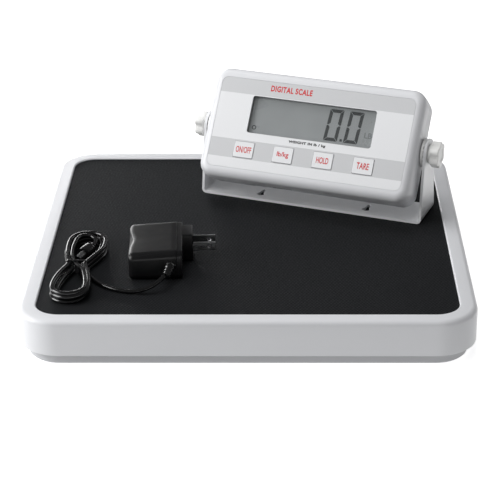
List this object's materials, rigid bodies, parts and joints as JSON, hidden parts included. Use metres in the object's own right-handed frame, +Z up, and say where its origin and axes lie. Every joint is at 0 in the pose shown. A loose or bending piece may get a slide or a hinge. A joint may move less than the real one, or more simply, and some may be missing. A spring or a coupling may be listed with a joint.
{
  "type": "animal weighing scale",
  "caption": "Low bench scale with rounded corners, a black anti-slip deck, a tilting white display unit on a U-shaped stand, and a mains adapter with its cord tied in a hank.",
  "frame": {"origin": "middle of the platform's footprint at floor level", "axes": "+X to the user's right along the platform's width, +Y away from the user, +Z up"},
  "size_m": [0.32, 0.311, 0.1337],
  "materials": {
    "white_plastic": "satin, finely textured moulded ABS",
    "tray_plastic": "satin moulded ABS",
    "rear_plastic": "satin, finely textured moulded ABS",
    "mat_rubber": "matte, fine woven-look texture",
    "foot_rubber": "matte",
    "zinc_steel": "zinc plated",
    "cell_steel": "machined",
    "holder_plastic": "moulded nylon",
    "stand_paint": "smooth powder coat",
    "overlay_film": "satin printed film with two grey bands",
    "key_plastic": "satin, red printed legends",
    "window_clear": "clear, glossy",
    "lcd_glass": "grey reflective LCD with dark segments",
    "board_green": "solder mask",
    "part_black": "moulded",
    "brass_insert": "turned",
    "plated_metal": "nickel plated",
    "knob_plastic": "satin moulded nylon",
    "adapter_black": "semi-gloss, fine spark texture",
    "cord_black": "glossy flexible PVC",
    "winding": "yellow-taped winding"
  },
  "bodies": {
    "platform": {"top_cover": "white_plastic", "anti_slip_mat": "mat_rubber", "deck_plate": "zinc_steel", "deck_channels": "zinc_steel", "base_tray": "tray_plastic", "junction_board": "board_green", "platform_socket": "part_black", "tray_screws": "zinc_steel", "load_cell_1": "cell_steel", "load_cell_2": "cell_steel", "load_cell_3": "cell_steel", "load_cell_4": "cell_steel", "cell_holder_1": "holder_plastic", "cell_holder_2": "holder_plastic", "cell_holder_3": "holder_plastic", "cell_holder_4": "holder_plastic", "foot_1": "foot_rubber", "foot_2": "foot_rubber", "foot_3": "foot_rubber", "foot_4": "foot_rubber"},
    "stand": {"bracket": "stand_paint"},
    "display_unit": {"front_case": "white_plastic", "rear_case": "rear_plastic", "overlay_panel": "overlay_film", "display_window": "window_clear", "lcd_module": "lcd_glass", "main_board": "board_green", "tact_switches": "part_black", "buzzer": "part_black", "dc_jack": "part_black", "cable_jack": "part_black", "case_screws": "zinc_steel", "battery_contacts": "plated_metal", "pivot_insert_left": "brass_insert", "pivot_insert_right": "brass_insert", "toothed_washer_left": "knob_plastic", "toothed_washer_right": "knob_plastic"},
    "knob_left": {"knob_stud_left": "zinc_steel", "tilt_knob_left": "knob_plastic"},
    "knob_right": {"knob_stud_right": "zinc_steel", "tilt_knob_right": "knob_plastic"},
    "key_on_off": {"key_on_off": "key_plastic"},
    "key_unit": {"key_unit": "key_plastic"},
    "key_hold": {"key_hold": "key_plastic"},
    "key_tare": {"key_tare": "key_plastic"},
    "battery_door": {"battery_door": "rear_plastic"},
    "adapter": {"adapter_shell": "adapter_black", "adapter_cap": "adapter_black", "adapter_blades": "plated_metal", "adapter_board": "board_green", "transformer": "winding", "strain_relief": "cord_black", "adapter_cord": "cord_black", "cord_hank": "cord_black", "cord_tie": "cord_black", "dc_plug": "cord_black", "dc_plug_barrel": "plated_metal"}
  },
  "joints": [
    {"name": "stand_lift", "type": "slide", "parent": "platform", "child": "stand", "axis": [0, 0, 1], "range_m": [0, 0.15]},
    {"name": "display_tilt", "type": "hinge", "parent": "stand", "child": "display_unit", "pos_m": [0.0516, 0.0577, 0.0881], "axis": [0.9361, -0.3518, 0], "range_deg": [-45, 60]},
    {"name": "knob_left_turn", "type": "hinge", "parent": "display_unit", "child": "knob_left", "pos_m": [-0.03733, 0.09112, 0.0881], "axis": [-0.9361, 0.3518, 0], "continuous": true},
    {"name": "knob_right_turn", "type": "hinge", "parent": "display_unit", "child": "knob_right", "pos_m": [0.14053, 0.02428, 0.0881], "axis": [0.9361, -0.3518, 0], "continuous": true},
    {"name": "key_on_off_press", "type": "slide", "parent": "display_unit", "child": "key_on_off", "axis": [0.2934, 0.7806, -0.5519], "range_m": [0, 0.0005], "stiffness_N_per_m": 3000},
    {"name": "key_unit_press", "type": "slide", "parent": "display_unit", "child": "key_unit", "axis": [0.2934, 0.7806, -0.5519], "range_m": [0, 0.0005], "stiffness_N_per_m": 3000},
    {"name": "key_hold_press", "type": "slide", "parent": "display_unit", "child": "key_hold", "axis": [0.2934, 0.7806, -0.5519], "range_m": [0, 0.0005], "stiffness_N_per_m": 3000},
    {"name": "key_tare_press", "type": "slide", "parent": "display_unit", "child": "key_tare", "axis": [0.2934, 0.7806, -0.5519], "range_m": [0, 0.0005], "stiffness_N_per_m": 3000},
    {"name": "battery_door_pull", "type": "slide", "parent": "display_unit", "child": "battery_door", "axis": [0.2934, 0.7806, -0.5519], "range_m": [0, 0.03]},
    {"name": "adapter_lift", "type": "slide", "parent": "platform", "child": "adapter", "axis": [0, 0, 1], "range_m": [0, 0.15]}
  ]
}
